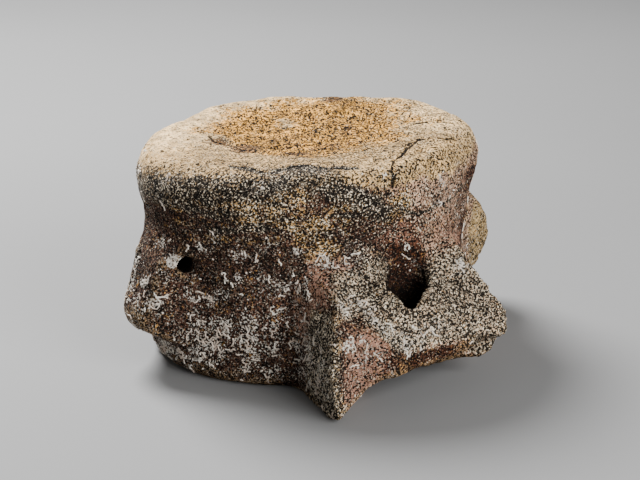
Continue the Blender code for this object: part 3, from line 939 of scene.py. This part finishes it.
def bone_material(colours):
    """Old bone: stains over stains, pale grains, open pores, crust, worn edges and painted shade in the
    hollows.
    """
    material, tree, shader, position = new_material("weathered_bone")
    ragged, grains = ragged_edge_group(), grains_group()

    def mask(name):
        made = add_node(tree, "ShaderNodeAttribute", attribute_name=name, attribute_type="GEOMETRY")
        return made.outputs["Fac"]

    def moved(x, y, z):
        return add_node(tree, "ShaderNodeMapping", {"Vector": position, "Location": (x, y, z)}).outputs[0]

    def strewn(place, to_the_metre, cover, softness):
        return use_group(tree, grains, Position=place, Grains_per_metre=to_the_metre, Share=cover,
                         Softness=softness)

    paint = solid(colours.brown)
    for name, stain in STAINS.items():
        clumps, single = stain.edge
        edge = use_group(tree, ragged, Position=position, Stain=mask(name), Clumps=clumps, Grains=single)
        paint = mix(tree, edge, paint, solid(getattr(colours, name)))

    # Broad and middling patches of lighter and darker bone
    broad = spread(tree, grain(tree, position, 0.045, 3.0), 0.3, 0.7, 0.70, 1.30)
    middling = spread(tree, grain(tree, position, 0.007, 3.0), 0.3, 0.7, 0.60, 1.40)
    tone = calc(tree, "MULTIPLY", broad, middling)
    paint = mix(tree, 1.0, paint, tone, "MULTIPLY")

    # Worn edges are paler, and hollows are darkened with painted shade
    wear_and_shade = mask("wear_and_shade")
    paint = mix(tree, spread(tree, wear_and_shade, 0.25, 1.0, 0.0, 0.30), paint, solid(colours.rim))
    paint = mix(tree, spread(tree, wear_and_shade, -0.25, -1.0, 0.0, 0.40), paint, solid(colours.earth_and_painted_shade))

    # Single grains are rusty, others pale, and between them are dark pores
    rusty = strewn(moved(0.7, 0.2, 0.4), RUSTY_GRAINS, 0.26, 0.10)
    paint = mix(tree, calc(tree, "MULTIPLY", rusty, 0.15), paint, solid(colours.rust))
    pale = strewn(moved(0.3, 0.9, 0.5), PALE_GRAINS, mask("pale grains"), 0.014)
    strength = spread(tree, mask("pale grains"), 0.14, 0.36, 0.45, 1.0)
    paint = mix(tree, calc(tree, "MULTIPLY", pale, strength), paint, solid(colours.grain))
    fine = strewn(position, FINE_PORES, mask("fine pores"), 0.014)
    wide = strewn(moved(0.5, 0.4, 0.1), WIDE_PORES, mask("wide pores"), 0.02)
    pores = calc(tree, "MAXIMUM", fine, wide)
    paint = mix(tree, calc(tree, "MULTIPLY", pores, 0.97), paint, solid(colours.earth_and_painted_shade))
    # Painted shade darkens the cut pores, the more the deeper they are
    paint = mix(tree, calc(tree, "MULTIPLY", mask("pit"), 0.50), paint, solid(colours.earth_and_painted_shade))
    # Painted shadow darkens the cracks, wider than they are cut
    crack = spread(tree, mask("crack"), 0.28, 0.60, 0.0, 0.94)
    paint = mix(tree, crack, paint, solid(colours.earth_and_painted_shade))

    # Crust lies over all of it, in grains and squiggles
    crust = strewn(moved(0.1, 0.6, 0.8), CRUST_GRAINS, mask("crust"), 0.03)
    crust = calc(tree, "MULTIPLY", crust, spread(tree, mask("crust"), 0.0, 0.25, 0.0, 0.92))
    paint = mix(tree, crust, paint, solid(colours.crust))
    # Painted shade darkens the canal of the arch and the holes in the processes
    paint = mix(tree, calc(tree, "MULTIPLY", mask("hollow"), 0.90), paint, solid(colours.earth_and_painted_shade))
    tree.links.new(paint, shader.inputs["Base Color"])

    gloss = spread(tree, grain(tree, position, 0.006, 2.0), 0.3, 0.7, 0.78, 0.96)
    tree.links.new(gloss, shader.inputs["Roughness"])
    shader.inputs["Specular IOR Level"].default_value = 0.12

    # Pores sink, pale grains and crust stand up
    height = calc(tree, "SUBTRACT", calc(tree, "MULTIPLY", pale, 0.5), pores)
    height = calc(tree, "ADD", height, calc(tree, "MULTIPLY", crust, 0.6))
    height = calc(tree, "ADD", height, grain(tree, position, 0.0016, 3.0, 0.7))
    bump = add_node(tree, "ShaderNodeBump", {"Height": height, "Strength": 1.0, "Distance": BONE_RELIEF})
    tree.links.new(bump.outputs[0], shader.inputs["Normal"])
    return material


def crust_material(colours):
    """Chalky white lime with a little dirt."""
    material, tree, shader, position = new_material("limy_crust")
    dirt = spread(tree, grain(tree, position, 0.010, 3.0), 0.35, 0.65, 0.0, 0.55)
    paint = mix(tree, dirt, solid(colours.crust), solid(colours.rosy))
    fine = spread(tree, grain(tree, position, 0.0012, 2.0), 0.35, 0.65, 0.72, 1.15)
    tree.links.new(mix(tree, 1.0, paint, fine, "MULTIPLY"), shader.inputs["Base Color"])
    shader.inputs["Roughness"].default_value = 0.9
    shader.inputs["Specular IOR Level"].default_value = 0.25
    bump = add_node(tree, "ShaderNodeBump",
                    {"Height": grain(tree, position, 0.0009, 3.0), "Strength": 0.5, "Distance": CRUST_RELIEF})
    tree.links.new(bump.outputs[0], shader.inputs["Normal"])
    return material


# ---------------------------------------------------------------------------
# Crust that stands up: flecks and worm tubes, laid over the bone by geometry nodes
# ---------------------------------------------------------------------------

def new_geometry_tree(name, inputs):
    """A geometry tree with its named inputs."""
    tree = bpy.data.node_groups.new(name, "GeometryNodeTree")
    tree.interface.new_socket("Geometry", in_out="INPUT", socket_type="NodeSocketGeometry")
    for socket, kind in inputs:
        tree.interface.new_socket(socket, in_out="INPUT", socket_type=kind)
    tree.interface.new_socket("Geometry", in_out="OUTPUT", socket_type="NodeSocketGeometry")
    return tree, tree.nodes.new("NodeGroupInput").outputs, tree.nodes.new("NodeGroupOutput").inputs


def crusty_points(tree, given):
    """Points strewn over the bone, the more the thicker its crust."""
    cover = add_node(tree, "GeometryNodeInputNamedAttribute", {"Name": "crust"}, data_type="FLOAT").outputs[0]
    density = calc(tree, "MULTIPLY", calc(tree, "POWER", cover, 1.5), given["Density"])
    return add_node(tree, "GeometryNodeDistributePointsOnFaces",
                    {"Mesh": given["Geometry"], "Density": density, "Seed": given["Seed"]},
                    distribute_method="RANDOM")


def random_vector(tree, low, high, seed):
    return add_node(tree, "FunctionNodeRandomValue", {0: low, 1: high, "Seed": seed},
                    data_type="FLOAT_VECTOR").outputs[0]


def vector_calc(tree, operation, inputs):
    return add_node(tree, "ShaderNodeVectorMath", inputs, operation=operation).outputs[0]


def set_out(tree, points, pattern, scale, spin):
    """A copy of a pattern on each point, scaled, turned and made real."""
    placed = add_node(tree, "GeometryNodeInstanceOnPoints",
                      {"Points": points.outputs["Points"], "Instance": pattern,
                       "Rotation": points.outputs["Rotation"], "Scale": scale}).outputs[0]
    turned = add_node(tree, "GeometryNodeRotateInstances", {"Instances": placed, "Rotation": spin}).outputs[0]
    return add_node(tree, "GeometryNodeRealizeInstances", {0: turned}).outputs[0]


def finish_tree(tree, grown, material, result):
    finished = add_node(tree, "GeometryNodeSetMaterial", {"Geometry": grown, "Material": material}).outputs[0]
    tree.links.new(finished, result["Geometry"])
    return tree


def fleck_tree(material):
    """Flat crumbs of lime, turned and sized at random."""
    tree, given, result = new_geometry_tree("crust flecks", (
        ("Density", "NodeSocketFloat"), ("Smallest", "NodeSocketFloat"), ("Largest", "NodeSocketFloat"),
        ("Seed", "NodeSocketInt")))
    crumb = add_node(tree, "GeometryNodeMeshIcoSphere", {"Radius": 1.0, "Subdivisions": 1}).outputs[0]
    chance = add_node(tree, "FunctionNodeRandomValue", {2: 0.0, 3: 1.0, "Seed": given["Seed"]},
                      data_type="FLOAT").outputs[1]
    small = calc(tree, "POWER", chance, 2.0)
    size = add_node(tree, "ShaderNodeMapRange",
                    {0: small, 3: given["Smallest"], 4: given["Largest"]}).outputs[0]
    shape = random_vector(tree, (0.7, 0.6, 0.35), (1.5, 1.1, 0.75), 5)
    scale = vector_calc(tree, "SCALE", {0: shape, "Scale": size})
    spin = random_vector(tree, (-0.3, -0.3, 0.0), (0.3, 0.3, math.tau), 9)
    crumbs = set_out(tree, crusty_points(tree, given), crumb, scale, spin)
    return finish_tree(tree, crumbs, material, result)


# A tube starts as an arc of this angle, and its middle lies this share of its radius above the bone
TUBE_SWEEP = 1.5
TUBE_LIFT = 0.45


def tube_tree(material):
    """Worm tubes: short lines that wander over the bone, with a round wall."""
    tree, given, result = new_geometry_tree("worm tubes", (
        ("Density", "NodeSocketFloat"), ("Length", "NodeSocketFloat"), ("Radius", "NodeSocketFloat"),
        ("Bend", "NodeSocketFloat"), ("Seed", "NodeSocketInt")))

    # Short arcs, long or broad by chance
    arc_radius = calc(tree, "DIVIDE", given["Length"], TUBE_SWEEP)
    arc = add_node(tree, "GeometryNodeCurveArc",
                   {"Resolution": 12, "Radius": arc_radius, "Sweep Angle": TUBE_SWEEP},
                   mode="RADIUS").outputs[0]
    stretch = random_vector(tree, (0.2, 0.2, 1.0), (1.2, 1.2, 1.0), 21)
    spin = random_vector(tree, (0.0, 0.0, 0.0), (0.0, 0.0, math.tau), 23)
    arcs = set_out(tree, crusty_points(tree, given), arc, stretch, spin)

    # Bent to and fro by noise
    place = add_node(tree, "GeometryNodeInputPosition").outputs[0]
    noisy = add_node(tree, "ShaderNodeTexNoise", {"Vector": place, "Scale": 250.0, "Detail": 1.5})
    wander = vector_calc(tree, "SUBTRACT", {0: noisy.outputs["Color"], 1: (0.5, 0.5, 0.5)})
    wander = vector_calc(tree, "SCALE", {0: wander, "Scale": given["Bend"]})
    bent = add_node(tree, "GeometryNodeSetPosition", {"Geometry": arcs, "Offset": wander}).outputs[0]

    # Laid back on the bone, and lifted so that they lie half in it
    touch = add_node(tree, "GeometryNodeProximity", {"Geometry": given["Geometry"]}, target_element="FACES")
    normal = add_node(tree, "GeometryNodeInputNormal").outputs[0]
    facing = add_node(tree, "GeometryNodeSampleNearestSurface", {"Mesh": given["Geometry"], "Value": normal},
                      data_type="FLOAT_VECTOR").outputs[0]
    lift = calc(tree, "MULTIPLY", given["Radius"], TUBE_LIFT)
    lift = vector_calc(tree, "SCALE", {0: facing, "Scale": lift})
    laid = add_node(tree, "GeometryNodeSetPosition",
                    {"Geometry": bent, "Position": touch.outputs["Position"]}).outputs[0]
    laid = add_node(tree, "GeometryNodeSetPosition", {"Geometry": laid, "Offset": lift}).outputs[0]

    ring = add_node(tree, "GeometryNodeCurvePrimitiveCircle", {"Resolution": 6, "Radius": given["Radius"]})
    wall = add_node(tree, "GeometryNodeCurveToMesh",
                    {"Curve": laid, "Profile Curve": ring.outputs[0], "Fill Caps": True}).outputs[0]
    return finish_tree(tree, wall, material, result)


# Crust stays this far above the floor
FLOOR_GAP = 0.0003


def grown_on_bone(name, tree, inputs, material):
    """Runs a geometry tree over the bone and keeps what it grows as a piece of its own."""
    bone = bpy.data.objects[BONE]
    carrier = linked_object(name + "_carrier", bone.data.copy())
    grow = carrier.modifiers.new("grow", "NODES")
    grow.node_group = tree
    sockets = {item.name: item.identifier for item in tree.interface.items_tree if item.in_out == "INPUT"}
    for key, value in inputs.items():
        grow[sockets[key]] = value
    mesh = baked(carrier)
    if len(mesh.polygons) == 0:
        raise RuntimeError(name + " grew nothing")
    mesh.name = name
    mesh.materials.clear()
    mesh.materials.append(material)
    piece = linked_object(name, mesh)
    points = points_of(mesh)
    points[:, 2] = np.maximum(points[:, 2], FLOOR_GAP)
    put_points(mesh, points)
    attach(piece, BODY)
    return piece


def crust_material_once(colours):
    """The one material that flecks and tubes share."""
    return bpy.data.materials.get("limy_crust") or crust_material(colours)


# ---------------------------------------------------------------------------
# Operators
# ---------------------------------------------------------------------------

class VERTEBRA_OT_bone(bpy.types.Operator):
    """Make the weathered surface of the whole bone"""

    bl_idname = "vertebra.bone"
    bl_label = "Bone surface"

    def execute(self, context):
        sizes = context.scene.surface_sizes
        mesh = fused_bone(sizes)
        pits = weather(mesh, sizes)
        mesh = thinned(mesh, sizes.triangles)
        mesh.name = BONE
        paint_masks(mesh, pits, sizes)
        mesh.shade_smooth()
        mesh.materials.clear()
        mesh.materials.append(bone_material(context.scene.bone_colours))
        bone = linked_object(BONE, mesh)
        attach(bone, BODY)
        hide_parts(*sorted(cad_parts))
        return {"FINISHED"}


class VERTEBRA_OT_flecks(bpy.types.Operator):
    """Strew crumbs of limy crust over the bone"""

    bl_idname = "vertebra.flecks"
    bl_label = "Crust flecks"

    def execute(self, context):
        sizes = context.scene.crust_sizes
        material = crust_material_once(context.scene.bone_colours)
        grown_on_bone(FLECKS, fleck_tree(material), {
            "Density": sizes.fleck_density, "Smallest": sizes.fleck_smallest, "Largest": sizes.fleck_largest,
            "Seed": sizes.fleck_seed}, material)
        return {"FINISHED"}


class VERTEBRA_OT_tubes(bpy.types.Operator):
    """Lay worm tubes over the bone"""

    bl_idname = "vertebra.tubes"
    bl_label = "Worm tubes"

    def execute(self, context):
        sizes = context.scene.crust_sizes
        material = crust_material_once(context.scene.bone_colours)
        piece = grown_on_bone(TUBES, tube_tree(material), {
            "Density": sizes.tube_density, "Length": sizes.tube_length, "Radius": sizes.tube_radius,
            "Bend": sizes.tube_bend, "Seed": sizes.tube_seed}, material)
        piece.data.shade_smooth()
        return {"FINISHED"}


SENSOR_WIDTH = 36.0
NEAREST_SEEN = 0.05
FARTHEST_SEEN = 60.0
BONE_MIDDLE = Vector((0.0, 0.0, 0.09))

# Each light's place as the camera sees it, to the right, away from it and up, then its width
KEY_PLACE, KEY_WIDTH = (-0.85, 1.05, 1.65), 1.0
FILL_PLACE, FILL_WIDTH = (1.25, -1.25, 0.85), 1.5


def lay_floor(sizes):
    half = sizes.floor_width / 2
    mesh = bpy.data.meshes.new("floor")
    corners = [(-half, -half, 0), (half, -half, 0), (half, half, 0), (-half, half, 0)]
    mesh.from_pydata(corners, [], [(0, 1, 2, 3)])
    material, tree, shader, position = new_material("floor")
    cloud = spread(tree, grain(tree, position, 0.9, 2.0), 0.3, 0.7, 0.97, 1.03)
    paint = mix(tree, 1.0, solid(sizes.floor_colour), cloud, "MULTIPLY")
    tree.links.new(paint, shader.inputs["Base Color"])
    shader.inputs["Roughness"].default_value = 0.7
    mesh.materials.append(material)
    floor = linked_object("floor", mesh)


def view_directions(sizes):
    """The direction from the bone back to the camera, and the one to the camera's right."""
    turn, rise = sizes.azimuth, sizes.elevation
    back = Vector((math.sin(turn) * math.cos(rise), -math.cos(turn) * math.cos(rise), math.sin(rise)))
    right = Vector((math.cos(turn), math.sin(turn), 0.0))
    return back, right


def place_camera(sizes):
    camera = bpy.data.cameras.new("camera")
    camera.lens = sizes.lens
    camera.sensor_width = SENSOR_WIDTH
    camera.clip_start = NEAREST_SEEN
    camera.clip_end = FARTHEST_SEEN
    back, right = view_directions(sizes)
    aim = right * sizes.aim_right + back.cross(right) * sizes.aim_up
    eye = bpy.data.objects.new("camera", camera)
    bpy.context.scene.collection.objects.link(eye)
    eye.location = back * sizes.distance
    eye.rotation_euler = (aim - eye.location).to_track_quat("-Z", "Y").to_euler()
    bpy.context.scene.camera = eye


def soft_light(name, place, width, power):
    """A round soft light that shines on the middle of the bone."""
    lamp = bpy.data.lights.new(name, "AREA")
    lamp.shape = "DISK"
    lamp.size = width
    lamp.energy = power
    made = bpy.data.objects.new(name, lamp)
    bpy.context.scene.collection.objects.link(made)
    made.location = place
    made.rotation_euler = (BONE_MIDDLE - place).to_track_quat("-Z", "Y").to_euler()


def hang_lights(sizes):
    back, right = view_directions(sizes)
    directions = right, Vector((-back.x, -back.y, 0)).normalized(), Vector((0, 0, 1))
    for name, place, width, power in (("key", KEY_PLACE, KEY_WIDTH, sizes.key_power),
                                      ("fill", FILL_PLACE, FILL_WIDTH, sizes.fill_power)):
        parts = [direction * far for direction, far in zip(directions, place)]
        soft_light(name, parts[0] + parts[1] + parts[2], width, power)


def light_room(sizes):
    world = bpy.data.worlds.new("room")
    world.use_nodes = True
    background = world.node_tree.nodes["Background"]
    background.inputs["Color"].default_value = (1.0, 1.0, 1.0, 1.0)
    background.inputs["Strength"].default_value = sizes.sky
    bpy.context.scene.world = world


class VERTEBRA_OT_stage(bpy.types.Operator):
    """Lay the floor, hang the lights and place the camera"""

    bl_idname = "vertebra.stage"
    bl_label = "Stage"

    def execute(self, context):
        sizes = context.scene.stage_sizes
        lay_floor(sizes)
        place_camera(sizes)
        hang_lights(sizes)
        light_room(sizes)
        return {"FINISHED"}


class VERTEBRA_PT_sidebar(bpy.types.Panel):
    """Buttons for the vertebra's pieces and its stage"""

    bl_idname = "VERTEBRA_PT_sidebar"
    bl_label = "Whale tail vertebra"
    bl_space_type = "VIEW_3D"
    bl_region_type = "UI"
    bl_category = "Vertebra"

    def draw(self, context):
        for operator in OPERATORS:
            self.layout.operator(operator.bl_idname)
        for name, group in SETTINGS.items():
            box = self.layout.box()
            for setting in group.__annotations__:
                box.prop(getattr(context.scene, name), setting)


SETTINGS = {
    "surface_sizes": SurfaceSizes,
    "bone_colours": BoneColours,
    "crust_sizes": CrustSizes,
    "stage_sizes": StageSizes,
}
OPERATORS = (VERTEBRA_OT_bone, VERTEBRA_OT_flecks, VERTEBRA_OT_tubes, VERTEBRA_OT_stage)


def register():
    for group in SETTINGS.values():
        bpy.utils.register_class(group)
    for name, group in SETTINGS.items():
        setattr(bpy.types.Scene, name, bpy.props.PointerProperty(type=group))
    for operator in OPERATORS:
        bpy.utils.register_class(operator)
    bpy.utils.register_class(VERTEBRA_PT_sidebar)


def unregister():
    bpy.utils.unregister_class(VERTEBRA_PT_sidebar)
    for operator in reversed(OPERATORS):
        bpy.utils.unregister_class(operator)
    for name in SETTINGS:
        delattr(bpy.types.Scene, name)
    for group in reversed(SETTINGS.values()):
        bpy.utils.unregister_class(group)


def main():
    register()
    bpy.ops.vertebra.bone()
    bpy.ops.vertebra.flecks()
    bpy.ops.vertebra.tubes()
    bpy.ops.vertebra.stage()


if __name__ == "__main__":
    main()
